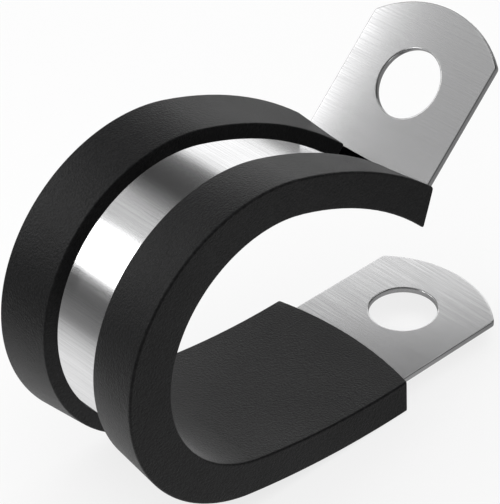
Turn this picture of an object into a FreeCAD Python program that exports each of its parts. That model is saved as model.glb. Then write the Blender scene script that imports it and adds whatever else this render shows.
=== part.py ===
"""Cushioned P clip: a bent steel strap with two holed ears, and the rubber cushion round its loop.

Millimetres. The origin is the centre of the lower ear's hole, on the ear's top face. +X runs out
along the lower ear to its tip, +Y across the strap and +Z up, towards the upper ear. The strap's
bend line lies in the XZ plane: it leaves the lower tip towards -X, turns clockwise round the loop
and bends back sharply into the upper ear.
"""
import FreeCAD, Part
import os
from math import cos, hypot, radians, sin

import Sketcher

Vector = FreeCAD.Vector

# Driving dimensions, in millimetres and degrees.
SIZES = {
    # The strap, a strip of constant section.
    "StrapWidth": 15.0,
    "StrapThickness": 0.6,
    # The two ears, which are alike.
    "HoleDiameter": 6.6,
    "HoleToTip": 7.6,
    "TipRise": 2.9,
    # The bend line, piece by piece, from the lower hole to the upper one.
    "LowerFlat": 8.1,
    "FloorRadius": 88.8,
    "FloorAngle": 12.2,
    "LoopRadius": 12.95,
    "LoopAngle": 183.4,
    "RoofRadius": 35.6,
    "RoofAngle": 27.2,
    "EarBendRadius": 0.6,
    "EarBendAngle": 87.0,
    "UpperFlat": 8.8,
    # The cushion's section: a channel whose lips fold over the strap's outer face.
    "CushionWidth": 17.4,
    "LipWidth": 5.45,
    "LipHeight": 2.1,
    "LipSlope": 0.55,
    "LipRootGap": 0.4,
    "SlotSideGap": 0.1,
    "SlotFloorGap": 0.03,
    # The cushion's floor, whose wall is thickest on the loop's far side.
    "LowerEndWall": 0.8,
    "UpperEndWall": 0.9,
    "UpperEndTaper": 4.0,
    "LoopWall": 0.87,
    "BoreShiftX": 0.87,
    "BoreShiftZ": -0.17,
    # The cushion's ends.
    "LowerEndSetback": 8.1,
    "LowerEndBulge": 1.1,
    "LipSetback": 0.3,
    "UpperEndOverhang": 1.3,
}

# How far a cutting outline runs past what it cuts.
CUT_MARGIN = 3.0

# The straight stretches of the bend lines, as rules over the sheet.
STRAIGHT_RULES = {
    "LowerEar": "Sizes.HoleToTip + Sizes.LowerFlat",
    "UpperEar": "Sizes.HoleToTip + Sizes.UpperFlat",
    "CushionFloor": "Sizes.LowerFlat",
    "CushionRoofEnd": "2 * Sizes.UpperEndOverhang",
}


def make_sheet(doc):
    """Write every driving dimension into a spreadsheet, one aliased cell each."""
    sheet = doc.addObject("Spreadsheet::Sheet", "Sizes")
    for row, (alias, value) in enumerate(SIZES.items(), start=1):
        sheet.set(f"A{row}", alias)
        sheet.set(f"B{row}", str(value))
        sheet.setAlias(f"B{row}", alias)
    doc.recompute()
    return sheet


class Turn:
    """One straight or round piece of a bend line in the XZ plane, with its points as (x, z)."""

    def __init__(self, start, heading, length=0.0, radius=0.0, angle=0.0, clockwise=True):
        self.start = start
        self.heading = heading
        self.radius = radius
        self.clockwise = clockwise
        along = direction(heading)
        if not radius:
            self.end_heading = heading
            self.end = moved(start, along, length)
            return
        side = 1.0 if clockwise else -1.0
        self.end_heading = heading - side * angle
        self.centre = moved(start, inward(heading), side * radius)
        self.end = moved(self.centre, inward(self.end_heading), -side * radius)


def direction(heading):
    """Return the unit (x, z) step along a heading in degrees."""
    return (cos(radians(heading)), sin(radians(heading)))


def inward(heading):
    """Return the unit (x, z) step to the right of a heading, which is the loop's inside."""
    return (sin(radians(heading)), -cos(radians(heading)))


def moved(point, step, distance):
    """Return the point moved along a step by a distance."""
    return (point[0] + distance * step[0], point[1] + distance * step[1])


def loop_turns(size, start):
    """Return the floor, loop and roof arcs, which the strap and the cushion share."""
    floor = Turn(start, 180.0, radius=size.FloorRadius, angle=size.FloorAngle)
    loop = Turn(floor.end, floor.end_heading, radius=size.LoopRadius, angle=size.LoopAngle)
    roof = Turn(loop.end, loop.end_heading, radius=size.RoofRadius, angle=size.RoofAngle)
    return [floor, loop, roof]


def strap_turns(size):
    """Return the bend line along the strap's middle, from the lower tip to the upper tip."""
    middle = -size.StrapThickness / 2
    line = Turn((size.HoleToTip, middle), 180.0, length=size.HoleToTip + size.LowerFlat)
    floor, loop, roof = loop_turns(size, line.end)
    bend = Turn(roof.end, roof.end_heading, radius=size.EarBendRadius, angle=size.EarBendAngle,
                clockwise=False)
    ear = Turn(bend.end, bend.end_heading, length=size.UpperFlat + size.HoleToTip)
    return [line, floor, loop, roof, bend, ear]


def cushion_turns(size):
    """Return the part of the bend line that the cushion's channel is swept along."""
    middle = -size.StrapThickness / 2
    line = Turn((0.0, middle), 180.0, length=size.LowerFlat)
    floor, loop, roof = loop_turns(size, line.end)
    run_out = Turn(roof.end, roof.end_heading, length=2 * size.UpperEndOverhang)
    return [line, floor, loop, roof, run_out]


def origin_plane(body, role):
    """Return one of a body's own origin planes by its role."""
    for feature in body.Origin.OriginFeatures:
        if feature.Role == role:
            return feature
    raise ValueError(f"no {role} in {body.Label}")


def new_sketch(body, name, role, offset=None):
    """Add a sketch on a body's origin plane, moved from it by a placement if one is given."""
    sketch = body.newObject("Sketcher::SketchObject", name)
    sketch.AttachmentSupport = (origin_plane(body, role), [""])
    sketch.MapMode = "FlatFace"
    if offset is not None:
        sketch.AttachmentOffset = offset
    return sketch


def bind(sketch, kind, *items, name, rule):
    """Add a dimension to a sketch, name it and tie it to the spreadsheet."""
    index = sketch.addConstraint(Sketcher.Constraint(kind, *items))
    sketch.renameConstraint(index, name)
    sketch.setExpression(f"Constraints.{name}", rule)


def draw_turns(sketch, turns, names):
    """Draw a bend line as tangent lines and arcs, with its dimensions tied to the sheet."""
    ends = []
    for turn in turns:
        start = Vector(*turn.start, 0)
        end = Vector(*turn.end, 0)
        if turn.radius:
            circle = Part.Circle(Vector(*turn.centre, 0), Vector(0, 0, 1), turn.radius)
            first, last = (end, start) if turn.clockwise else (start, end)
            curve = Part.ArcOfCircle(circle, circle.parameter(first), circle.parameter(last))
            enter, leave = (2, 1) if turn.clockwise else (1, 2)
        else:
            curve = Part.LineSegment(start, end)
            enter, leave = (1, 2)
        ends.append((sketch.addGeometry(curve, False), enter, leave))
    for (before, _, leave), (after, enter, _) in zip(ends, ends[1:]):
        sketch.addConstraint(Sketcher.Constraint("Tangent", before, leave, after, enter))
    first, enter, _ = ends[0]
    sketch.addConstraint(Sketcher.Constraint("Horizontal", first))
    if turns[0].start[0]:
        bind(sketch, "DistanceX", -1, 1, first, enter, turns[0].start[0], name="StartX",
             rule="Sizes.HoleToTip")
    else:
        sketch.addConstraint(Sketcher.Constraint("PointOnObject", first, enter, -2))
    bind(sketch, "DistanceY", -1, 1, first, enter, turns[0].start[1], name="StartZ",
         rule="-Sizes.StrapThickness / 2")
    for (index, _, _), turn, name in zip(ends, turns, names):
        if turn.radius:
            bind(sketch, "Radius", index, turn.radius, name=f"{name}Radius", rule=f"Sizes.{name}Radius")
            span = radians(abs(turn.heading - turn.end_heading))
            bind(sketch, "Angle", index, span, name=f"{name}Angle", rule=f"Sizes.{name}Angle * 1 deg")
        else:
            length = hypot(turn.end[0] - turn.start[0], turn.end[1] - turn.start[1])
            bind(sketch, "Distance", index, length, name=f"{name}Length", rule=STRAIGHT_RULES[name])


def draw_section(sketch, corners):
    """Draw a closed outline whose corners are pairs of rules over the sheet."""
    points = []
    for rules in corners:
        points.append(Vector(*[float(sketch.evalExpression(rule)) for rule in rules], 0))
    for here, there in zip(points, points[1:] + points[:1]):
        sketch.addGeometry(Part.LineSegment(here, there), False)
    count = len(points)
    for index in range(count):
        sketch.addConstraint(Sketcher.Constraint("Coincident", index, 2, (index + 1) % count, 1))
    for index, (point, rules) in enumerate(zip(points, corners)):
        bind(sketch, "DistanceX", -1, 1, index, 1, point.x, name=f"Across{index}", rule=rules[0])
        bind(sketch, "DistanceY", -1, 1, index, 1, point.y, name=f"Height{index}", rule=rules[1])


def draw_path(sketch, curves):
    """Draw a closed outline from curves that meet end to end."""
    for curve in curves:
        sketch.addGeometry(curve, False)


def segment(start, end):
    """Return a straight edge between two (x, z) or (x, y) points."""
    return Part.LineSegment(Vector(*start, 0), Vector(*end, 0))


def arc_between(centre, radius, first, last):
    """Return the arc round a centre, anticlockwise from the first point to the last."""
    circle = Part.Circle(Vector(*centre, 0), Vector(0, 0, 1), radius)
    return Part.ArcOfCircle(circle, circle.parameter(Vector(*first, 0)), circle.parameter(Vector(*last, 0)))


def polygon(points):
    """Return the straight edges through the points and back to the first."""
    return [segment(here, there) for here, there in zip(points, points[1:] + points[:1])]


def sweep(body, name, profile, path):
    """Sweep a profile sketch along a bend line."""
    pipe = body.newObject("PartDesign::AdditivePipe", name)
    pipe.Profile = profile
    pipe.Spine = (path, [f"Edge{index + 1}" for index in range(path.GeometryCount)])
    body.Document.recompute()
    return pipe


def pocket(body, name, profile, depth_rule, both_ways=False):
    """Cut a sketch's outline out of a body, and stop if nothing goes."""
    before = body.Shape.Volume
    cut = body.newObject("PartDesign::Pocket", name)
    cut.Profile = profile
    if both_ways:
        cut.Midplane = True
    cut.setExpression("Length", depth_rule)
    body.Document.recompute()
    if body.Shape.Volume > before - 1e-6:
        cut.Reversed = True
        body.Document.recompute()
    if body.Shape.Volume > before - 1e-6:
        raise RuntimeError(f"{name} cuts nothing")
    return cut


def arc_end_waste(corner, rise, half_width, reach):
    """Return the outline of the waste from an end that bulges by rise out to a reach."""
    radius = (half_width ** 2 + rise ** 2) / (2 * rise)
    centre = (corner + rise - radius, 0.0)
    low = (corner, -half_width)
    high = (corner, half_width)
    far = reach + CUT_MARGIN
    side = half_width + CUT_MARGIN
    return [
        arc_between(centre, radius, low, high),
        segment(high, (corner, side)),
        segment((corner, side), (far, side)),
        segment((far, side), (far, -side)),
        segment((far, -side), (corner, -side)),
        segment((corner, -side), low),
    ]


def cut_ear(body, size, name, offset):
    """Round an ear's tip and pierce its hole, from a sketch plane on the ear's outer face."""
    depth = "2 * Sizes.StrapThickness"
    tip = new_sketch(body, f"{name}TipOutline", "XY_Plane", offset)
    corner = size.HoleToTip - size.TipRise
    draw_path(tip, arc_end_waste(corner, size.TipRise, size.StrapWidth / 2, size.HoleToTip))
    pocket(body, f"{name}Tip", tip, depth)
    hole = new_sketch(body, f"{name}HoleOutline", "XY_Plane", offset)
    hole.addGeometry(Part.Circle(Vector(0, 0, 0), Vector(0, 0, 1), size.HoleDiameter / 2), False)
    hole.addConstraint(Sketcher.Constraint("Coincident", 0, 3, -1, 1))
    bind(hole, "Diameter", 0, size.HoleDiameter, name="HoleSize", rule="Sizes.HoleDiameter")
    pocket(body, f"{name}Hole", hole, depth)


def build_strap(doc, size):
    """Sweep the strip along its bend line, then round both tips and pierce both ears."""
    body = doc.addObject("PartDesign::Body", "steel_strap")
    turns = strap_turns(size)
    path = new_sketch(body, "StrapBendLine", "XZ_Plane")
    draw_turns(path, turns, ["LowerEar", "Floor", "Loop", "Roof", "EarBend", "UpperEar"])
    section = new_sketch(body, "StripSection", "YZ_Plane")
    section.setExpression("AttachmentOffset.Base.z", "Sizes.HoleToTip")
    draw_section(section, [
        ("-Sizes.StrapWidth / 2", "-Sizes.StrapThickness"),
        ("Sizes.StrapWidth / 2", "-Sizes.StrapThickness"),
        ("Sizes.StrapWidth / 2", "0"),
        ("-Sizes.StrapWidth / 2", "0"),
    ])
    doc.recompute()
    sweep(body, "BentStrip", section, path)
    cut_ear(body, size, "LowerEar", FreeCAD.Placement())
    ear = turns[-1]
    on_hole = moved(ear.start, direction(ear.heading), size.UpperFlat)
    face = moved(on_hole, inward(ear.heading), -size.StrapThickness / 2)
    turned = FreeCAD.Rotation(Vector(0, 1, 0), -ear.heading)
    cut_ear(body, size, "UpperEar", FreeCAD.Placement(Vector(face[0], 0, face[1]), turned))
    return body


def tangent_radius(point, inside, centre, radius):
    """Return the radius of the arc that starts square to inside and runs into a circle from outside."""
    away = (point[0] - centre[0], point[1] - centre[1])
    depth = inside[0] * away[0] + inside[1] * away[1]
    return (radius ** 2 - away[0] ** 2 - away[1] ** 2) / (2 * (depth + radius))


def bore_outline(size, turns):
    """Return the cushion's inner outline: a round bore with a floor and a roof that run into it."""
    loop, roof = turns[2], turns[3]
    bore_radius = size.LoopRadius - size.StrapThickness / 2 - size.LoopWall
    centre = (loop.centre[0] + size.BoreShiftX, loop.centre[1] + size.BoreShiftZ)
    floor_start = (-size.LowerEndSetback - size.LowerEndBulge, size.LowerEndWall)
    floor_radius = tangent_radius(floor_start, (0.0, 1.0), centre, bore_radius)
    floor_centre = moved(floor_start, (0.0, 1.0), floor_radius)
    depth = size.StrapThickness / 2 + size.UpperEndWall
    roof_end = moved(moved(roof.end, inward(roof.end_heading), depth), direction(roof.end_heading),
                     size.UpperEndOverhang)
    roof_inside = inward(roof.end_heading - size.UpperEndTaper)
    roof_radius = tangent_radius(roof_end, roof_inside, centre, bore_radius)
    roof_centre = moved(roof_end, roof_inside, roof_radius)
    floor_meet = touching_point(floor_centre, floor_radius, centre)
    roof_meet = touching_point(roof_centre, roof_radius, centre)
    run_out = moved(roof_end, direction(roof.end_heading - size.UpperEndTaper), CUT_MARGIN)
    right = CUT_MARGIN
    return [
        segment((right, size.LowerEndWall), (right, run_out[1])),
        segment((right, run_out[1]), run_out),
        segment(run_out, roof_end),
        arc_between(roof_centre, roof_radius, roof_end, roof_meet),
        arc_between(centre, bore_radius, roof_meet, floor_meet),
        arc_between(floor_centre, floor_radius, floor_meet, floor_start),
        segment(floor_start, (right, size.LowerEndWall)),
    ]


def touching_point(centre, radius, inner_centre):
    """Return where a circle touches a smaller one that lies inside it."""
    apart = hypot(inner_centre[0] - centre[0], inner_centre[1] - centre[1])
    return moved(centre, ((inner_centre[0] - centre[0]) / apart, (inner_centre[1] - centre[1]) / apart), radius)


def build_cushion(doc, size):
    """Sweep the channel round the strap, bore its inside and trim both ends."""
    body = doc.addObject("PartDesign::Body", "rubber_cushion")
    turns = cushion_turns(size)
    path = new_sketch(body, "CushionBendLine", "XZ_Plane")
    draw_turns(path, turns, ["CushionFloor", "Floor", "Loop", "Roof", "CushionRoofEnd"])
    section = new_sketch(body, "ChannelSection", "YZ_Plane")
    side = "Sizes.CushionWidth / 2"
    groove = "(Sizes.CushionWidth / 2 - Sizes.LipWidth)"
    slot = "(Sizes.StrapWidth / 2 + Sizes.SlotSideGap)"
    blank = "2 * (Sizes.LoopWall + abs(Sizes.BoreShiftX))"
    foot = "-Sizes.StrapThickness - Sizes.LipHeight"
    root = "-Sizes.StrapThickness - Sizes.LipRootGap"
    draw_section(section, [
        (side, blank),
        (f"-{side}", blank),
        (f"-{side}", foot),
        (f"-{groove}", f"{foot} + Sizes.LipSlope"),
        (f"-{groove}", root),
        (f"-{slot}", root),
        (f"-{slot}", "Sizes.SlotFloorGap"),
        (slot, "Sizes.SlotFloorGap"),
        (slot, root),
        (groove, root),
        (groove, f"{foot} + Sizes.LipSlope"),
        (side, foot),
    ])
    doc.recompute()
    sweep(body, "Channel", section, path)

    bore = new_sketch(body, "BoreOutline", "XZ_Plane")
    draw_path(bore, bore_outline(size, turns))
    pocket(body, "Bore", bore, "2 * Sizes.CushionWidth", both_ways=True)

    lower = new_sketch(body, "LowerEndOutline", "XY_Plane",
                       FreeCAD.Placement(Vector(0, 0, 2 * size.LowerEndWall), FreeCAD.Rotation()))
    draw_path(lower, lower_end_waste(size))
    pocket(body, "LowerEnd", lower, "2 * (Sizes.LowerEndWall + Sizes.StrapThickness + Sizes.LipHeight)")

    roof = turns[3]
    upper = new_sketch(body, "UpperEndOutline", "XZ_Plane")
    draw_path(upper, upper_end_waste(size, roof))
    pocket(body, "UpperEnd", upper, "2 * Sizes.CushionWidth", both_ways=True)

    relief = new_sketch(body, "BendReliefOutline", "XZ_Plane")
    draw_path(relief, bend_relief(size, roof))
    pocket(body, "BendRelief", relief, "Sizes.StrapWidth + 2 * Sizes.SlotSideGap", both_ways=True)
    return body


def lower_end_waste(size):
    """Return what is trimmed off beyond the cushion's bulging lower end."""
    return arc_end_waste(-size.LowerEndSetback, size.LowerEndBulge, size.CushionWidth / 2, 0.0)


def upper_end_waste(size, roof):
    """Return what is trimmed off beyond the cushion's upper end, whose floor reaches past its lips."""
    along = direction(roof.end_heading)
    inside = inward(roof.end_heading)
    high = moved(moved(roof.end, along, -size.LipSetback), inside, -size.StrapThickness / 2 - size.LipHeight)
    low = moved(moved(roof.end, along, size.UpperEndOverhang), inside,
                size.StrapThickness / 2 + size.UpperEndWall)
    length = hypot(high[0] - low[0], high[1] - low[1])
    down = ((low[0] - high[0]) / length, (low[1] - high[1]) / length)
    top = moved(high, down, -CUT_MARGIN)
    bottom = moved(low, down, CUT_MARGIN)
    reach = 2 * CUT_MARGIN
    return polygon([top, bottom, moved(bottom, along, reach), moved(top, along, reach)])


def bend_relief(size, roof):
    """Return the room that the strap's sharp bend takes between the cushion's side walls."""
    along = direction(roof.end_heading)
    inside = inward(roof.end_heading)
    start = moved(roof.end, along, -size.LipSetback)
    floor = size.StrapThickness / 2 + size.SlotFloorGap
    reach = size.LipHeight + size.StrapThickness
    low = moved(start, inside, floor)
    high = moved(start, inside, -reach - CUT_MARGIN)
    return polygon([low, moved(low, along, reach), moved(high, along, reach), high])


def check_document(doc, bodies):
    """Stop if any object failed or any sub-part is missing its solid."""
    for item in doc.Objects:
        if "Invalid" in item.State or "Error" in item.State:
            raise RuntimeError(f"{item.Name} is {item.State}")
    for body in bodies:
        if body.Shape.isNull() or not body.Shape.isValid() or not body.Shape.Solids:
            raise RuntimeError(f"{body.Label} has no valid solid")


def main():
    """Build the clip and write one STEP file for each sub-part."""
    doc = FreeCAD.newDocument("PClip")
    size = make_sheet(doc)
    bodies = [build_strap(doc, size), build_cushion(doc, size)]
    doc.recompute()
    check_document(doc, bodies)
    os.makedirs("parts", exist_ok=True)
    for body in bodies:
        body.Shape.exportStep(os.path.join("parts", f"{body.Label}.step"))
        box = body.Shape.BoundBox
        print(body.Label, f"{body.Shape.Volume:.1f} mm3", f"x {box.XMin:.2f} to {box.XMax:.2f}",
              f"y {box.YMin:.2f} to {box.YMax:.2f}", f"z {box.ZMin:.2f} to {box.ZMax:.2f}")


main()
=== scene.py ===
"""Blender scene of the cushioned P clip: its bent steel strap, its rubber cushion and a plain studio.

Sizes are in millimetres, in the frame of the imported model, and every mesh is made in metres. The
strap's bend line lies in the XZ plane and starts at the lower ear's tip. "Along" is a distance along
that line, and "height" is a distance from it towards the inside of the loop.
"""
import logging
import math
from dataclasses import dataclass, field
from enum import Enum
from typing import Iterable, Sequence

import bmesh
import bpy
from mathutils import Matrix, Quaternion, Vector


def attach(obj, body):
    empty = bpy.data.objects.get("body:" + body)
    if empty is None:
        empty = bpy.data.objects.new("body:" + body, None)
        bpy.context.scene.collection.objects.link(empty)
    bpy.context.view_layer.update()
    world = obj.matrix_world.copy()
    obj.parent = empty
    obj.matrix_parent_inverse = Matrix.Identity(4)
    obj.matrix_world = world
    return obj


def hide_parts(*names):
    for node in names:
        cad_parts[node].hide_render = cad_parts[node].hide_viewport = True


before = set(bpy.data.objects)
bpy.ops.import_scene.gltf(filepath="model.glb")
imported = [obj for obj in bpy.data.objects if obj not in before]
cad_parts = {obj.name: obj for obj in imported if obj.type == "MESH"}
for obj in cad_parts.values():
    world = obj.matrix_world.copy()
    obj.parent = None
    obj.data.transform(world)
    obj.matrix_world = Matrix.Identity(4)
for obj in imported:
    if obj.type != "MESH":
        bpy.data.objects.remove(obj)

LOG = logging.getLogger("p_clip")
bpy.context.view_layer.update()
BODY = "root"
MM = 0.001
FLAT_FACE_WEIGHT = 97

MIX_FIRST_COLOUR = 6
MIX_SECOND_COLOUR = 7
MIX_COLOUR_RESULT = 2

Point = tuple[float, float]
Colour = tuple[float, float, float, float]
Place = tuple[float, float, float]


class Node(Enum):
    """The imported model's nodes that the scene's pieces stand for."""

    STRAP = "steel_strap"
    CUSHION = "rubber_cushion"


class Slot(Enum):
    """The record's material slots."""

    STEEL = "strap_steel"
    RUBBER = "cushion_rubber"


@dataclass(frozen=True)
class Turn:
    """One straight or round piece of a bend line.

    Attributes:
        length: Its length along the line.
        radius: Its radius, or 0 for a straight piece.
        clockwise: Whether it turns clockwise in the XZ plane.
    """

    length: float
    radius: float = 0.0
    clockwise: bool = True

    @classmethod
    def arc(cls, radius: float, degrees: float, clockwise: bool = True) -> "Turn":
        """Return the round piece with a radius and an angle in degrees."""
        return cls(radius * math.radians(degrees), radius, clockwise)


@dataclass(frozen=True)
class Station:
    """A point on a bend line, with the heading there in radians."""

    x: float
    z: float
    heading: float

    @property
    def inward(self) -> Point:
        """Return the unit step in XZ towards the loop's inside."""
        return (math.sin(self.heading), -math.cos(self.heading))

    def place(self, across: float, height: float) -> Vector:
        """Return where a point of the cross-section stands.

        Args:
            across: Its place along Y.
            height: Its distance from the bend line, towards the inside.

        Returns:
            The point in metres.
        """
        inward = self.inward
        return Vector((self.x + height * inward[0], across, self.z + height * inward[1])) * MM


class BendLine:
    """A chain of straight and round pieces in the XZ plane, each running on smoothly from the last."""

    def __init__(self, start: Point, turns: Sequence[Turn]) -> None:
        """Lay the pieces end to end, the first one heading along -X.

        Args:
            start: The (x, z) point where the line starts.
            turns: The pieces in order.
        """
        self.turns = list(turns)
        self.starts: list[tuple[float, Station]] = []
        along = 0.0
        station = Station(start[0], start[1], math.pi)
        for turn in self.turns:
            self.starts.append((along, station))
            station = self._step(turn, station, turn.length)
            along += turn.length
        self.length = along

    @staticmethod
    def _step(turn: Turn, start: Station, distance: float) -> Station:
        """Return the station at a distance along one piece."""
        if not turn.radius:
            x = start.x + distance * math.cos(start.heading)
            z = start.z + distance * math.sin(start.heading)
            return Station(x, z, start.heading)
        side = 1.0 if turn.clockwise else -1.0
        heading = start.heading - side * distance / turn.radius
        inward = start.inward
        later = (math.sin(heading), -math.cos(heading))
        x = start.x + side * turn.radius * (inward[0] - later[0])
        z = start.z + side * turn.radius * (inward[1] - later[1])
        return Station(x, z, heading)

    def at(self, along: float) -> Station:
        """Return the station at a distance along the whole line.

        Args:
            along: The distance from the line's start. It may run past either end.

        Returns:
            The station there.
        """
        chosen = 0
        for index, (start, _) in enumerate(self.starts):
            if along >= start:
                chosen = index
        start, station = self.starts[chosen]
        return self._step(self.turns[chosen], station, along - start)

    def steps(self, first: float, last: float, degrees: float, longest: float) -> list[float]:
        """Return distances that follow the line closely between two ends.

        Args:
            first: The distance to start from.
            last: The distance to end at.
            degrees: The most that the line turns between two of them.
            longest: The longest step.

        Returns:
            The distances, with both ends and every joint between pieces in them.
        """
        marks = [first]
        for (start, _), turn in zip(self.starts, self.turns):
            low = max(first, start)
            high = min(last, start + turn.length)
            if high - low < 1e-6:
                continue
            count = math.ceil((high - low) / longest)
            if turn.radius:
                count = max(count, math.ceil(math.degrees((high - low) / turn.radius) / degrees))
            marks += [low + (high - low) * index / count for index in range(1, count + 1)]
        return marks


@dataclass(frozen=True)
class LoopShape:
    """The bend line's floor, loop and roof, which the strap and the cushion share."""

    lower_flat: float = 8.1
    floor: Turn = Turn.arc(88.8, 12.2)
    loop: Turn = Turn.arc(12.95, 183.4)
    roof: Turn = Turn.arc(35.6, 27.2)
    level: float = -0.3

    @property
    def curves(self) -> list[Turn]:
        """Return the three arcs in order."""
        return [self.floor, self.loop, self.roof]


class FlatNet:
    """A flat net of faces over (along, across) points, in which equal points are one."""

    def __init__(self) -> None:
        """Start with no points and no faces."""
        self.points: list[Point] = []
        self.faces: list[tuple[int, ...]] = []
        self._known: dict[Point, int] = {}

    def point(self, place: Point) -> int:
        """Return the number of a point, which is added if it is new."""
        key = (round(place[0], 4), round(place[1], 4))
        if key not in self._known:
            self._known[key] = len(self.points)
            self.points.append(place)
        return self._known[key]

    def bridge(self, first: Sequence[Point], second: Sequence[Point]) -> None:
        """Join two rows with as many points by a band of four-sided faces."""
        one = [self.point(place) for place in first]
        two = [self.point(place) for place in second]
        for index in range(len(one) - 1):
            self.faces.append((one[index], one[index + 1], two[index + 1], two[index]))

    def rim(self) -> list[tuple[int, int]]:
        """Return the directed edges that only one face has, in the order of the faces."""
        edges = [pair for face in self.faces for pair in zip(face, face[1:] + face[:1])]
        known = set(edges)
        return [(a, b) for a, b in edges if (b, a) not in known]

    def rim_normals(self, rim: Iterable[tuple[int, int]]) -> dict[int, Point]:
        """Return how each rim point moves when the rim moves out by one.

        Args:
            rim: The directed edges of the rim.

        Returns:
            For each point on the rim, its mitred step.
        """
        sides: dict[int, list[Point]] = {}
        for a, b in rim:
            along = self.points[b][0] - self.points[a][0]
            across = self.points[b][1] - self.points[a][1]
            length = math.hypot(along, across)
            side = (across / length, -along / length)
            sides.setdefault(a, []).append(side)
            sides.setdefault(b, []).append(side)
        normals = {}
        for index, pair in sides.items():
            total = (sum(side[0] for side in pair), sum(side[1] for side in pair))
            length = math.hypot(*total)
            unit = (total[0] / length, total[1] / length)
            facing = unit[0] * pair[0][0] + unit[1] * pair[0][1]
            normals[index] = (unit[0] / facing, unit[1] / facing)
        return normals


def lerp(first: float, second: float, share: float) -> float:
    """Return the value a share of the way from the first to the second."""
    return first + (second - first) * share


def between(first: Point, second: Point, share: float) -> Point:
    """Return the point a share of the way from the first to the second."""
    return (lerp(first[0], second[0], share), lerp(first[1], second[1], share))


def make_piece(name: str, mesh: bmesh.types.BMesh, sharp_above: float) -> bpy.types.Object:
    """Turn a mesh under construction into a smooth shown piece.

    Args:
        name: The piece's name.
        mesh: The mesh, in metres, which is used up.
        sharp_above: The angle in degrees above which an edge stays sharp.

    Returns:
        The new object.
    """
    bmesh.ops.remove_doubles(mesh, verts=mesh.verts, dist=1e-7)
    bmesh.ops.recalc_face_normals(mesh, faces=mesh.faces)
    data = bpy.data.meshes.new(name)
    mesh.to_mesh(data)
    mesh.free()
    data.shade_smooth()
    data.set_sharp_from_angle(angle=math.radians(sharp_above))
    piece = bpy.data.objects.new(name, data)
    bpy.context.scene.collection.objects.link(piece)
    shading = piece.modifiers.new("flat faces shade flat", "WEIGHTED_NORMAL")
    shading.keep_sharp = True
    shading.weight = FLAT_FACE_WEIGHT
    return piece


class NodeTree:
    """A small helper that adds and links the nodes of a material or world."""

    def __init__(self, owner: bpy.types.Material | bpy.types.World) -> None:
        """Empty the owner's node tree."""
        owner.use_nodes = True
        self.nodes = owner.node_tree.nodes
        self.links = owner.node_tree.links
        self.nodes.clear()

    def add(self, kind: str, sockets: dict | None = None, **settings: object) -> bpy.types.Node:
        """Add one node.

        Args:
            kind: The node's type without its ShaderNode prefix.
            sockets: Values or other nodes' outputs for its inputs, by name or number.
            settings: Its own settings.

        Returns:
            The node.
        """
        node = self.nodes.new(f"ShaderNode{kind}")
        for name, value in settings.items():
            setattr(node, name, value)
        for name, value in (sockets or {}).items():
            if isinstance(value, bpy.types.NodeSocket):
                self.links.new(value, node.inputs[name])
            else:
                node.inputs[name].default_value = value
        return node

    def math(self, operation: str, first: object, second: object = 0.0) -> bpy.types.NodeSocket:
        """Add a Math node and return its result."""
        return self.add("Math", {0: first, 1: second}, operation=operation).outputs[0]

    def blend(self, share: bpy.types.NodeSocket, first: Colour, second: Colour) -> bpy.types.NodeSocket:
        """Return the colour a share of the way from the first to the second."""
        node = self.add("Mix", {"Factor": share}, data_type="RGBA")
        node.inputs[MIX_FIRST_COLOUR].default_value = first
        node.inputs[MIX_SECOND_COLOUR].default_value = second
        return node.outputs[MIX_COLOUR_RESULT]

    def ramp(self, value: bpy.types.NodeSocket, low: Point, high: Point) -> bpy.types.NodeSocket:
        """Return the value mapped from the low and high pair's first numbers to their second."""
        sockets = {"Value": value, "From Min": low[0], "To Min": low[1]}
        sockets |= {"From Max": high[0], "To Max": high[1]}
        return self.add("MapRange", sockets).outputs["Result"]


@dataclass(frozen=True)
class BrushedSteel:
    """Bright stainless strip with a fine grain brushed straight across it."""

    colour: Colour = (0.77, 0.77, 0.775, 1.0)
    dark_colour: Colour = (0.63, 0.63, 0.635, 1.0)
    roughness: Point = (0.15, 0.24)
    anisotropy: float = 0.3
    grain_width: float = 0.10
    grain_length: float = 9.0
    cloud_width: float = 6.0
    cloud_share: float = 0.3
    bump: float = 0.25
    bump_depth: float = 0.005

    def material(self) -> bpy.types.Material:
        """Return the finish as a node material."""
        material = bpy.data.materials.new("brushed steel")
        tree = NodeTree(material)
        place = tree.add("TexCoord").outputs["Object"]
        scale = 1.0 / (self.grain_width * MM)
        stretch = (scale, scale * self.grain_width / self.grain_length, scale)
        lines = tree.add("Mapping", {"Vector": place, "Scale": stretch}).outputs["Vector"]
        grain = tree.add("TexNoise", {"Vector": lines, "Scale": 1.0, "Detail": 3.0, "Roughness": 0.6})
        cloud_scale = 1.0 / (self.cloud_width * MM)
        cloud = tree.add("TexNoise", {"Vector": place, "Scale": cloud_scale, "Detail": 2.0})
        sockets = {0: cloud.outputs["Fac"], 1: self.cloud_share, 2: grain.outputs["Fac"]}
        mixed = tree.add("Math", sockets, operation="MULTIPLY_ADD").outputs[0]
        tone = tree.ramp(mixed, (0.45, 0.0), (0.85, 1.0))
        colour = tree.blend(tone, self.dark_colour, self.colour)
        rough = tree.ramp(mixed, (0.45, self.roughness[1]), (0.85, self.roughness[0]))
        bump = tree.add("Bump", {"Height": grain.outputs["Fac"], "Strength": self.bump,
                                 "Distance": self.bump_depth * MM})
        across = tree.add("Tangent", direction_type="RADIAL", axis="Y")
        shader = tree.add("BsdfPrincipled", {
            "Base Color": colour,
            "Metallic": 1.0,
            "Roughness": rough,
            "Anisotropic": self.anisotropy,
            "Normal": bump.outputs["Normal"],
            "Tangent": across.outputs["Tangent"],
        })
        tree.add("OutputMaterial", {"Surface": shader.outputs["BSDF"]})
        return material


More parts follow.
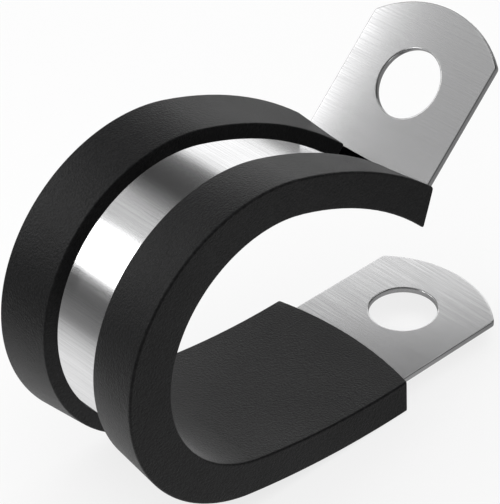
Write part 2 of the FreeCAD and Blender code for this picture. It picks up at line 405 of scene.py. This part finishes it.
@dataclass(frozen=True)
class GrainedRubber:
    """Matte black moulded rubber with a fine even grain."""

    colour: Colour = (0.0045, 0.0045, 0.0048, 1.0)
    pale_colour: Colour = (0.016, 0.016, 0.0165, 1.0)
    roughness: Point = (0.40, 0.46)
    specular: float = 0.25
    grain: float = 0.2
    grains_to_cloud: float = 40.0
    bump: float = 1.0
    bump_depth: float = 0.07

    def material(self) -> bpy.types.Material:
        """Return the finish as a node material."""
        material = bpy.data.materials.new("grained rubber")
        tree = NodeTree(material)
        place = tree.add("TexCoord").outputs["Object"]
        scale = 1.0 / (self.grain * MM)
        grain = tree.add("TexNoise", {"Vector": place, "Scale": scale, "Detail": 3.0, "Roughness": 0.65})
        cloud = tree.add("TexNoise", {"Vector": place, "Scale": scale / self.grains_to_cloud, "Detail": 2.0})
        tone = tree.ramp(grain.outputs["Fac"], (0.35, 0.0), (0.75, 1.0))
        colour = tree.blend(tone, self.colour, self.pale_colour)
        rough = tree.ramp(cloud.outputs["Fac"], (0.3, self.roughness[0]), (0.7, self.roughness[1]))
        bump = tree.add("Bump", {"Height": grain.outputs["Fac"], "Strength": self.bump,
                                 "Distance": self.bump_depth * MM})
        shader = tree.add("BsdfPrincipled", {
            "Base Color": colour,
            "Roughness": rough,
            "Specular IOR Level": self.specular,
            "Normal": bump.outputs["Normal"],
        })
        tree.add("OutputMaterial", {"Surface": shader.outputs["BSDF"]})
        return material


@dataclass(frozen=True)
class Ear:
    """The outline of one ear of the flat strip, whose tip is an arc with rounded corners."""

    hole_radius: float = 3.3
    hole_to_tip: float = 7.6
    hole_to_root: float = 6.2
    tip_rise: float = 2.9
    corner_radius: float = 0.6
    tip_steps: int = 20
    corner_steps: int = 6
    side_steps: int = 12
    rings: int = 7
    crowding: float = 1.3
    support: float = 0.012

    def outline(self, half_width: float, inset: float, columns: Sequence[float]) -> list[Point]:
        """Return the ear's closed outline, as seen from its hole's centre with the tip towards +along.

        Args:
            half_width: Half the strip's width.
            inset: How far the outline lies inside the metal's edge.
            columns: Where the strip's columns cross the root, from -Y to +Y.

        Returns:
            The points from the root's -Y end, out round the tip and back, then along the root.
        """
        edge = half_width - inset
        tip_radius = (half_width ** 2 + self.tip_rise ** 2) / (2 * self.tip_rise)
        tip_centre = self.hole_to_tip - tip_radius
        arc_radius = tip_radius - inset
        corner = self.corner_radius - inset
        across = half_width - self.corner_radius
        along = tip_centre + math.sqrt((tip_radius - self.corner_radius) ** 2 - across ** 2)
        turn = math.atan2(across, along - tip_centre)
        half: list[Point] = []
        for index in range(self.tip_steps // 2 + 1):
            angle = turn * index / (self.tip_steps // 2)
            half.append((tip_centre + arc_radius * math.cos(angle), arc_radius * math.sin(angle)))
        for index in range(1, self.corner_steps + 1):
            angle = lerp(turn, math.pi / 2, index / self.corner_steps)
            half.append((along + corner * math.cos(angle), across + corner * math.sin(angle)))
        for index in range(1, self.side_steps):
            half.append((lerp(along, -self.hole_to_root, index / self.side_steps), edge))
        mirrored = [(point[0], -point[1]) for point in reversed(half[1:])]
        root = [(-self.hole_to_root, column) for column in reversed(columns)]
        return mirrored + half + root

    def fill(self, net: FlatNet, half_width: float, inset: float, columns: Sequence[float],
             hole_along: float, outward: float) -> None:
        """Fill the ear's metal, round its hole, with rings of faces.

        Args:
            net: The net to add to.
            half_width: Half the strip's width.
            inset: How far the net stops inside the metal's edges.
            columns: The strip's columns from -Y to +Y.
            hole_along: Where the hole's centre lies along the strip.
            outward: 1 if the tip lies further along than the hole, otherwise -1.
        """
        outline = self.outline(half_width, inset, columns)
        closed = outline + outline[:1]
        hole = self.hole_radius + inset
        rows = []
        even = [(ring / self.rings) ** self.crowding for ring in range(1, self.rings)]
        for share in (0.0, self.support, *even, 1.0 - self.support, 1.0):
            row = []
            for point in closed:
                reach = math.hypot(*point)
                inner = (point[0] * hole / reach, point[1] * hole / reach)
                place = between(inner, point, share)
                row.append((hole_along + outward * place[0], place[1]))
            rows.append(row if outward > 0 else row[::-1])
        for inner_row, outer_row in zip(rows, rows[1:]):
            net.bridge(outer_row, inner_row)


@dataclass
class SteelStrap:
    """One strip of steel with a round-holed ear at each end, bent into the clip's loop."""

    shape: LoopShape = field(default_factory=LoopShape)
    finish: BrushedSteel = field(default_factory=BrushedSteel)
    ear: Ear = field(default_factory=Ear)
    width: float = 15.0
    thickness: float = 0.6
    edge_radius: float = 0.11
    edge_steps: int = 3
    ear_bend: Turn = Turn.arc(0.6, 87.0, clockwise=False)
    upper_flat: float = 8.8
    column_count: int = 14
    support: float = 0.05
    turn_step: float = 2.0
    longest_step: float = 1.2

    def bend_line(self) -> BendLine:
        """Return the line along the middle of the strip, from the lower tip to the upper one."""
        tip = self.ear.hole_to_tip
        first = Turn(tip + self.shape.lower_flat)
        last = Turn(self.upper_flat + tip)
        turns = [first, *self.shape.curves, self.ear_bend, last]
        return BendLine((tip, self.shape.level), turns)

    def flat_net(self, length: float) -> FlatNet:
        """Return the flat strip's face, up to where its edges start to round.

        Args:
            length: The strip's whole length.

        Returns:
            The net of faces over (along, across) points.
        """
        net = FlatNet()
        half = self.width / 2
        edge = half - self.edge_radius
        inner = [lerp(-edge, edge, index / self.column_count) for index in range(1, self.column_count)]
        columns = [-edge, self.support - edge, *inner, edge - self.support, edge]
        lower_hole = self.ear.hole_to_tip
        upper_hole = length - self.ear.hole_to_tip
        self.ear.fill(net, half, self.edge_radius, columns, lower_hole, -1.0)
        self.ear.fill(net, half, self.edge_radius, columns, upper_hole, 1.0)
        marks = self.line.steps(lower_hole + self.ear.hole_to_root, upper_hole - self.ear.hole_to_root,
                                self.turn_step, self.longest_step)
        for here, there in zip(marks, marks[1:]):
            net.bridge([(there, column) for column in columns], [(here, column) for column in columns])
        return net

    def edge_profile(self) -> list[Point]:
        """Return the rounded edge from face to face, as (outward, height) steps from the net's rim."""
        radius = self.edge_radius
        level = self.thickness / 2 - radius
        quarter = [math.pi / 2 * index / self.edge_steps for index in range(self.edge_steps + 1)]
        upper = [(radius * math.sin(angle), level + radius * math.cos(angle)) for angle in quarter]
        return upper + [(out, -height) for out, height in reversed(upper)]

    def mesh(self) -> bmesh.types.BMesh:
        """Return the bent strip's closed mesh."""
        net = self.flat_net(self.line.length)
        rim = net.rim()
        normals = net.rim_normals(rim)
        profile = self.edge_profile()
        mesh = bmesh.new()

        def vertex(place: Point, height: float) -> bmesh.types.BMVert:
            """Add the vertex of a flat point, bent into its place."""
            return mesh.verts.new(self.line.at(place[0]).place(place[1], height))

        inside = [vertex(place, self.thickness / 2) for place in net.points]
        outside = [vertex(place, -self.thickness / 2) for place in net.points]
        for face in net.faces:
            mesh.faces.new([inside[index] for index in face])
            mesh.faces.new([outside[index] for index in reversed(face)])
        edges: dict[int, list[bmesh.types.BMVert]] = {}
        for index, normal in normals.items():
            start = net.points[index]
            middle = []
            for out, height in profile[1:-1]:
                middle.append(vertex((start[0] + normal[0] * out, start[1] + normal[1] * out), height))
            edges[index] = [inside[index], *middle, outside[index]]
        for a, b in rim:
            for step in range(len(profile) - 1):
                mesh.faces.new([edges[b][step], edges[a][step], edges[a][step + 1], edges[b][step + 1]])
        return mesh

    def build(self) -> bpy.types.Object:
        """Build the strap, dress it and set it on the part."""
        self.line = self.bend_line()
        strap = make_piece("bent_strap", self.mesh(), sharp_above=40.0)
        strap.data.materials.append(self.finish.material())
        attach(strap, BODY)
        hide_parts(Node.STRAP.value)
        return strap


@dataclass(frozen=True)
class BoreShape:
    """The cushion's inner outline in XZ: a round bore with a shallow floor arc and roof arc."""

    centre: Point = (-23.259, 14.193)
    radius: float = 11.78
    floor_centre: Point = (-9.2, 74.656)
    floor_radius: float = 73.856
    floor_level: float = 0.8
    roof_centre: Point = (-28.568, -4.389)
    roof_radius: float = 31.105

    def _reach(self, station: Station, centre: Point, radius: float) -> tuple[float, float]:
        """Return how far inward a circle is met, and on which side of its touch with the bore.

        Args:
            station: Where the ray starts, heading inward.
            centre: The circle's centre.
            radius: The circle's radius.

        Returns:
            The distance, and a number that is positive clockwise of the touching point.
        """
        inward = station.inward
        away = (station.x - centre[0], station.z - centre[1])
        depth = inward[0] * away[0] + inward[1] * away[1]
        inside = depth ** 2 - away[0] ** 2 - away[1] ** 2 + radius ** 2
        if inside < 0.0:
            return (math.inf, 0.0)
        reach = -depth - math.sqrt(inside)
        met = (away[0] + reach * inward[0], away[1] + reach * inward[1])
        touch = (self.centre[0] - centre[0], self.centre[1] - centre[1])
        return (reach, met[0] * touch[1] - met[1] * touch[0])

    def height(self, station: Station) -> float:
        """Return how high the cushion's inner face stands over the bend line at a station."""
        if station.z < 0.0 and station.x > self.floor_centre[0]:
            return self.floor_level - station.z
        reach, side = self._reach(station, self.floor_centre, self.floor_radius)
        if side < 0.0 and station.z < self.centre[1]:
            return reach
        reach, side = self._reach(station, self.roof_centre, self.roof_radius)
        if side > 0.0 and station.z > self.centre[1]:
            return reach
        return self._reach(station, self.centre, self.radius)[0]


@dataclass(frozen=True)
class SectionPoint:
    """A point of the channel's cross-section, with its mitred outward step."""

    across: float
    height: float
    step: Point

    def inset(self, distance: float) -> Point:
        """Return the point moved into the rubber by a distance."""
        return (self.across - distance * self.step[0], self.height - distance * self.step[1])


@dataclass(frozen=True)
class ChannelSection:
    """The cushion's C-shaped cross-section, whose lips fold over the strip's outer face."""

    width: float = 17.4
    lip_width: float = 5.45
    lip_foot: float = -2.4
    lip_slope: float = 0.55
    lip_root: float = -0.36
    slot_half: float = 7.6
    slot_floor: float = 0.33
    outer_radius: float = 0.20
    inner_radius: float = 0.20
    groove_radius: float = 0.15
    root_radius: float = 0.12
    arc_steps: int = 4
    half_cuts: tuple[int, ...] = (2, 5, 1, 3, 1)
    slot_cuts: int = 12
    face_cuts: int = 16

    def cuts(self) -> list[int]:
        """Return into how many steps the straight after each corner is cut."""
        return [*self.half_cuts, self.slot_cuts, *reversed(self.half_cuts), self.face_cuts]

    def corners(self, inner: float) -> list[tuple[Point, float]]:
        """Return the sharp corners anticlockwise from the inner -Y one, each with its rounding radius."""
        side = self.width / 2
        groove = side - self.lip_width
        brink = self.lip_foot + self.lip_slope
        slot = self.slot_half
        half = [
            ((-side, inner), self.inner_radius),
            ((-side, self.lip_foot), self.outer_radius),
            ((-groove, brink), self.groove_radius),
            ((-groove, self.lip_root), self.root_radius),
            ((-slot, self.lip_root), 0.0),
            ((-slot, self.slot_floor), 0.0),
        ]
        return half + [((-point[0], point[1]), radius) for point, radius in reversed(half)]

    def points(self, inner: float) -> list[SectionPoint]:
        """Return the rounded outline's points.

        Args:
            inner: The height of the inner face over the bend line.

        Returns:
            The points anticlockwise, each with its mitred outward step.
        """
        corners = self.corners(inner)
        rounded: list[list[Point]] = []
        for index, (corner, radius) in enumerate(corners):
            before = corners[index - 1][0]
            after = corners[(index + 1) % len(corners)][0]
            rounded.append(self._round(before, corner, after, radius))
        outline: list[Point] = []
        for index, cuts in enumerate(self.cuts()):
            outline += rounded[index]
            start = rounded[index][-1]
            end = rounded[(index + 1) % len(rounded)][0]
            outline += [between(start, end, step / cuts) for step in range(1, cuts)]
        made = []
        for index, place in enumerate(outline):
            before = self._side(outline[index - 1], place)
            after = self._side(place, outline[(index + 1) % len(outline)])
            total = (before[0] + after[0], before[1] + after[1])
            length = math.hypot(*total)
            unit = (total[0] / length, total[1] / length)
            facing = unit[0] * before[0] + unit[1] * before[1]
            made.append(SectionPoint(place[0], place[1], (unit[0] / facing, unit[1] / facing)))
        return made

    @staticmethod
    def _side(first: Point, second: Point) -> Point:
        """Return the unit step to the right of the way from one point to the next."""
        length = math.hypot(second[0] - first[0], second[1] - first[1])
        return ((second[1] - first[1]) / length, -(second[0] - first[0]) / length)

    def _round(self, before: Point, corner: Point, after: Point, radius: float) -> list[Point]:
        """Return a corner's points: itself, or an arc that rounds it."""
        if not radius:
            return [corner]
        to_before = math.atan2(before[1] - corner[1], before[0] - corner[0])
        to_after = math.atan2(after[1] - corner[1], after[0] - corner[0])
        apart = to_before - to_after
        half_angle = math.atan2(math.sin(apart), math.cos(apart)) / 2
        middle = to_after + half_angle
        reach = radius / math.sin(abs(half_angle))
        centre = (corner[0] + reach * math.cos(middle), corner[1] + reach * math.sin(middle))
        set_back = radius / math.tan(abs(half_angle))
        first = math.atan2(corner[1] + set_back * math.sin(to_before) - centre[1],
                           corner[0] + set_back * math.cos(to_before) - centre[0])
        last = math.atan2(corner[1] + set_back * math.sin(to_after) - centre[1],
                          corner[0] + set_back * math.cos(to_after) - centre[0])
        sweep = math.atan2(math.sin(last - first), math.cos(last - first))
        points = []
        for index in range(self.arc_steps + 1):
            angle = first + sweep * index / self.arc_steps
            points.append((centre[0] + radius * math.cos(angle), centre[1] + radius * math.sin(angle)))
        return points


@dataclass
class RubberCushion:
    """The rubber channel round the strap's loop, with its soft edges and shaped ends."""

    shape: LoopShape = field(default_factory=LoopShape)
    finish: GrainedRubber = field(default_factory=GrainedRubber)
    bore: BoreShape = field(default_factory=BoreShape)
    section: ChannelSection = field(default_factory=ChannelSection)
    end_radius: float = 0.18
    end_steps: int = 3
    lower_bulge: float = 1.1
    lip_bulge: float = 0.58
    lip_spread: float = 0.7
    lip_spread_reach: float = 9.0
    lip_setback: float = 0.3
    floor_overhang: float = 1.3
    end_blend: float = 5.0
    turn_step: float = 2.0
    longest_step: float = 1.2

    def bend_line(self) -> BendLine:
        """Return the strip's line from under the lower hole to past the roof."""
        turns = [Turn(self.shape.lower_flat), *self.shape.curves, Turn(2 * self.floor_overhang)]
        return BendLine((0.0, self.shape.level), turns)

    @property
    def lower_end(self) -> float:
        """Return where along the line the lower end's furthest point lies."""
        return self.shape.lower_flat - self.lower_bulge

    def bulge_drop(self, across: float, rise: float) -> float:
        """Return how far an end that bulges by rise lies back from its furthest point."""
        half = self.section.width / 2
        radius = (half ** 2 + rise ** 2) / (2 * rise)
        return radius - math.sqrt(radius ** 2 - across ** 2)

    def upper_shift(self, across: float, height: float) -> float:
        """Return how far the upper end lies beyond the roof's end."""
        section = self.section
        if height < section.slot_floor - 0.5:
            lip_end = self.lip_bulge - self.lip_setback - self.bulge_drop(across, self.lip_bulge)
            if abs(across) < section.slot_half + 0.01:
                return lip_end
        inner = self.bore.height(self.line.at(self.roof_end))
        share = (height - section.lip_foot) / (inner - section.lip_foot)
        return lerp(-self.lip_setback, self.floor_overhang, share)

    def rings(self) -> list[Point]:
        """Return the mesh's rings from end to end, as pairs of a distance along and an inset."""
        low = self.lower_end
        high = self.roof_end
        radius = self.end_radius
        quarter = [math.pi / 2 * index / self.end_steps for index in range(self.end_steps)]
        rounded = [(radius * (1 - math.cos(angle)), radius * (1 - math.sin(angle))) for angle in quarter]
        start = [(low + back, inset) for back, inset in rounded]
        end = [(high - back, inset) for back, inset in reversed(rounded)]
        marks = self.line.steps(low + radius, high - radius, self.turn_step, self.longest_step)
        return start + [(mark, 0.0) for mark in marks] + end

    def vertex_place(self, ring: Point, index: int) -> Vector:
        """Return where one point of the cross-section stands in a ring.

        Args:
            ring: The ring's distance along and inset.
            index: The point's number in the section.

        Returns:
            The point in metres.
        """
        along, inset = ring
        near_low = max(0.0, 1.0 - (along - self.lower_end) / self.end_blend)
        near_high = max(0.0, 1.0 - (self.roof_end - along) / self.end_blend)
        point = self.section.points(self.bore.height(self.line.at(along)))[index]
        shifted = along
        if near_low:
            shifted += near_low * self.bulge_drop(point.across, self.lower_bulge)
        if near_high:
            shifted += near_high * self.upper_shift(point.across, point.height)
        station = self.line.at(shifted)
        across, height = self.section.points(self.bore.height(station))[index].inset(inset)
        groove_edge = self.section.width / 2 - self.section.lip_width + self.section.groove_radius
        if height < 0.0 and abs(across) < groove_edge:
            closer = max(0.0, 1.0 - (self.roof_end - along) / self.lip_spread_reach)
            across -= math.copysign(self.lip_spread * closer * closer, across)
        return station.place(across, height)

    def mesh(self) -> bmesh.types.BMesh:
        """Return the cushion's closed mesh."""
        mesh = bmesh.new()
        count = len(self.section.points(1.0))
        rows = []
        for ring in self.rings():
            rows.append([mesh.verts.new(self.vertex_place(ring, index)) for index in range(count)])
        for here, there in zip(rows, rows[1:]):
            for index in range(count):
                after = (index + 1) % count
                mesh.faces.new([here[index], here[after], there[after], there[index]])
        mesh.faces.new(rows[0])
        mesh.faces.new(rows[-1][::-1])
        return mesh

    def build(self) -> bpy.types.Object:
        """Build the cushion, dress it and set it on the part."""
        self.line = self.bend_line()
        self.roof_end = self.line.length - 2 * self.floor_overhang
        cushion = make_piece("lined_channel", self.mesh(), sharp_above=50.0)
        cushion.data.materials.append(self.finish.material())
        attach(cushion, BODY)
        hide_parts(Node.CUSHION.value)
        cushion.visible_glossy = False
        return cushion


class LampUse(Enum):
    """What a lamp does: it lights dull surfaces, or shows as a reflection in shiny ones."""

    FILL = "fill"
    REFLECTION = "reflection"


@dataclass(frozen=True)
class SoftBox:
    """A rectangular studio lamp that faces a point near the clip.

    Attributes:
        name: The lamp's name.
        place: Its centre.
        aim: The point that it faces.
        size: Its width and height.
        glow: Its brightness as seen, where 1 is white.
        use: What it is there for.
        roll: Its turn about its own axis in degrees.
    """

    name: str
    place: Place
    aim: Place
    size: Point
    glow: float
    use: LampUse = LampUse.REFLECTION
    roll: float = 0.0

    def build(self) -> None:
        """Add the lamp to the scene."""
        data = bpy.data.lights.new(self.name, "AREA")
        data.shape = "RECTANGLE"
        data.size = self.size[0] * MM
        data.size_y = self.size[1] * MM
        data.energy = self.glow * math.pi * data.size * data.size_y
        lamp = bpy.data.objects.new(self.name, data)
        lamp.location = Vector(self.place) * MM
        way = Vector(self.aim) * MM - lamp.location
        turn = Quaternion((0.0, 0.0, 1.0), math.radians(self.roll))
        lamp.rotation_mode = "QUATERNION"
        lamp.rotation_quaternion = way.to_track_quat("-Z", "Y") @ turn
        lamp.visible_camera = False
        lamp.visible_glossy = self.use is LampUse.REFLECTION
        bpy.context.scene.collection.objects.link(lamp)


@dataclass
class Studio:
    """The plain floor, the room's light and the lamps."""

    floor_level: float = -2.72
    floor_reach: float = 3000.0
    floor_white: float = 0.8
    floor_colour: Colour = (0.8, 0.8, 0.8, 1.0)
    # Painted glow on the floor, seen only in reflections: white near the shine centre, fading with distance.
    shine_centre: Place = (-45.0, 15.0, 0.0)
    near_shine: Point = (6.0, 1.0)
    far_shine: Point = (60.0, 0.1)
    room_bands: tuple[Point, ...] = (
        (0.0, 0.35), (20.0, 0.35), (34.0, 0.22), (44.0, 0.15), (60.0, 0.08), (74.0, 0.06), (84.0, 0.22),
        (93.0, 0.46), (102.0, 0.72), (118.0, 0.70), (134.0, 0.33), (150.0, 0.32), (163.0, 0.18),
        (172.0, 0.11), (180.0, 0.10),
    )
    room_depth: tuple[Point, Point] = ((-0.2, 0.25), (0.35, 1.0))
    soft_boxes: tuple[SoftBox, ...] = (
        SoftBox("overhead", (-15.0, -20.0, 320.0), (-15.0, 0.0, 0.0), (420.0, 420.0), 2.0, LampUse.FILL),
        SoftBox("loop_strip", (-62.6, 33.0, 47.5), (-34.0, 33.0, 19.0), (20.0, 28.0), 3.6),
        SoftBox("upper_ear_card", (-43.7, 75.0, 66.2), (0.0, 75.0, 22.5), (40.0, 44.0), 1.75),
        SoftBox("right_wall", (96.0, 100.0, 53.0), (0.0, 0.0, 18.0), (150.0, 96.0), 1.0),
        SoftBox("edge_strip", (72.0, 5.0, 120.0), (0.0, 0.0, 10.0), (50.0, 40.0), 1.3),
        SoftBox("table_glow", (-6.0, -41.0, -2.5), (-6.0, -41.0, 20.0), (18.0, 18.0), 2.0),
    )

    def floor_material(self) -> bpy.types.Material:
        """Return the pale floor, which shows as white and keeps the clip's shadow, with a painted white glow
        round the shine centre that only reflections show.
        """
        material = bpy.data.materials.new("white floor")
        tree = NodeTree(material)
        rays = tree.add("LightPath").outputs
        place = tree.add("TexCoord").outputs["Object"]
        centre = Vector(self.shine_centre) * MM
        # Painted glow for glossy rays: bright near the shine centre, fading with distance.
        reach = tree.add("VectorMath", {0: place, 1: centre}, operation="DISTANCE").outputs["Value"]
        reflection_glow = tree.ramp(reach, (self.near_shine[0] * MM, self.near_shine[1]),
                         (self.far_shine[0] * MM, self.far_shine[1]))
        straight = tree.math("MAXIMUM", rays["Is Camera Ray"], rays["Is Transmission Ray"])
        shown = tree.math("MAXIMUM", tree.math("MULTIPLY", rays["Is Glossy Ray"], reflection_glow), straight)
        seen = tree.math("MAXIMUM", rays["Is Glossy Ray"], straight)
        white = tree.add("Emission", {"Color": (1.0, 1.0, 1.0, 1.0), "Strength": shown})
        pale = tree.add("BsdfDiffuse", {"Color": self.floor_colour})
        share = tree.math("MULTIPLY", seen, self.floor_white)
        mixed = tree.add("MixShader", {"Fac": share, 1: pale.outputs["BSDF"], 2: white.outputs["Emission"]})
        tree.add("OutputMaterial", {"Surface": mixed.outputs["Shader"]})
        material.cycles.emission_sampling = "NONE"
        return material

    def build_floor(self) -> bpy.types.Object:
        """Add the floor that the clip lies on, which isn't part of it."""
        data = bpy.data.meshes.new("floor")
        reach = self.floor_reach * MM
        corners = [(-reach, -reach, 0.0), (reach, -reach, 0.0), (reach, reach, 0.0), (-reach, reach, 0.0)]
        data.from_pydata(corners, [], [(0, 1, 2, 3)])
        floor = bpy.data.objects.new("floor", data)
        floor.location.z = self.floor_level * MM
        floor.data.materials.append(self.floor_material())
        bpy.context.scene.collection.objects.link(floor)
        return floor

    def build_room(self) -> None:
        """Light the clip from a room whose bright and dark bands run along Y."""
        world = bpy.data.worlds.new("studio room")
        bpy.context.scene.world = world
        tree = NodeTree(world)
        rays = tree.add("LightPath").outputs
        way = tree.add("SeparateXYZ", {0: tree.add("TexCoord").outputs["Generated"]}).outputs
        angle = tree.math("ARCTAN2", way["Z"], way["X"])
        share = tree.ramp(angle, (0.0, 0.0), (math.pi, 1.0))
        bands = tree.add("ValToRGB", {"Fac": share})
        ramp = bands.color_ramp
        top = max(light for _, light in self.room_bands)
        while len(ramp.elements) < len(self.room_bands):
            ramp.elements.new(0.5)
        for element, (degrees, light) in zip(ramp.elements, self.room_bands):
            element.position = math.radians(degrees) / math.pi
            element.color = (light / top, light / top, light / top, 1.0)
        depth = tree.ramp(way["Y"], *self.room_depth)
        glow = tree.math("MULTIPLY", tree.math("MULTIPLY", bands.outputs["Color"], top), depth)
        shown = tree.math("MAXIMUM", glow, rays["Is Camera Ray"])
        behind = tree.math("MAXIMUM", shown, rays["Is Transmission Ray"])
        light = tree.add("Background", {"Color": (1.0, 1.0, 1.0, 1.0), "Strength": behind})
        tree.add("OutputWorld", {"Surface": light.outputs["Background"]})

    def build(self) -> None:
        """Build the floor, the room and the lamps, and set the view transform."""
        self.build_floor()
        self.build_room()
        for lamp in self.soft_boxes:
            lamp.build()
        scene = bpy.context.scene
        scene.view_settings.view_transform = "Standard"


@dataclass(frozen=True)
class Viewpoint:
    """The camera, fitted to the photograph's angle and perspective.

    Attributes:
        azimuth: The camera's bearing in degrees, 0 when it looks along +Y.
        elevation: Its height over the horizon in degrees.
        roll: Its roll in degrees.
        focal: Its focal length in pixels of the picture.
        across: How far the origin lies right of the picture's middle.
        up: How far the origin lies below the picture's middle.
        distance: How far the camera stands from the origin.
    """

    azimuth: float = -39.817
    elevation: float = 36.28
    roll: float = -3.408
    focal: float = 2252.932
    across: float = 14.640
    up: float = -5.430
    distance: float = 215.655
    picture_height: int = 504
    sensor: float = 36.0

    def build(self) -> None:
        """Add the camera and make it the scene's own."""
        azimuth, elevation, roll = (math.radians(a) for a in (self.azimuth, self.elevation, self.roll))
        back = Vector((math.sin(azimuth) * math.cos(elevation), -math.cos(azimuth) * math.cos(elevation),
                       math.sin(elevation)))
        level = Vector((math.cos(azimuth), math.sin(azimuth), 0.0))
        upright = back.cross(level)
        right = math.cos(roll) * level + math.sin(roll) * upright
        up = math.cos(roll) * upright - math.sin(roll) * level
        data = bpy.data.cameras.new("camera")
        data.sensor_width = self.sensor
        data.lens = self.focal * self.sensor / self.picture_height
        data.clip_start = 1.0 * MM
        data.clip_end = 100.0
        camera = bpy.data.objects.new("camera", data)
        camera.matrix_world = Matrix((right, up, back)).transposed().to_4x4()
        camera.location = MM * (self.distance * back - self.across * right - self.up * up)
        bpy.context.scene.collection.objects.link(camera)
        bpy.context.scene.camera = camera


def write_sizes() -> None:
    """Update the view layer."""
    bpy.context.view_layer.update()


def main() -> None:
    """Build the strap, the cushion, the studio and the camera, and report each piece."""
    logging.basicConfig(level=logging.INFO, format="%(message)s")
    for maker in (SteelStrap(), RubberCushion()):
        piece = maker.build()
        LOG.info("%s: %d faces", piece.name, len(piece.data.polygons))
    Studio().build()
    Viewpoint().build()
    write_sizes()


if __name__ == "__main__":
    main()
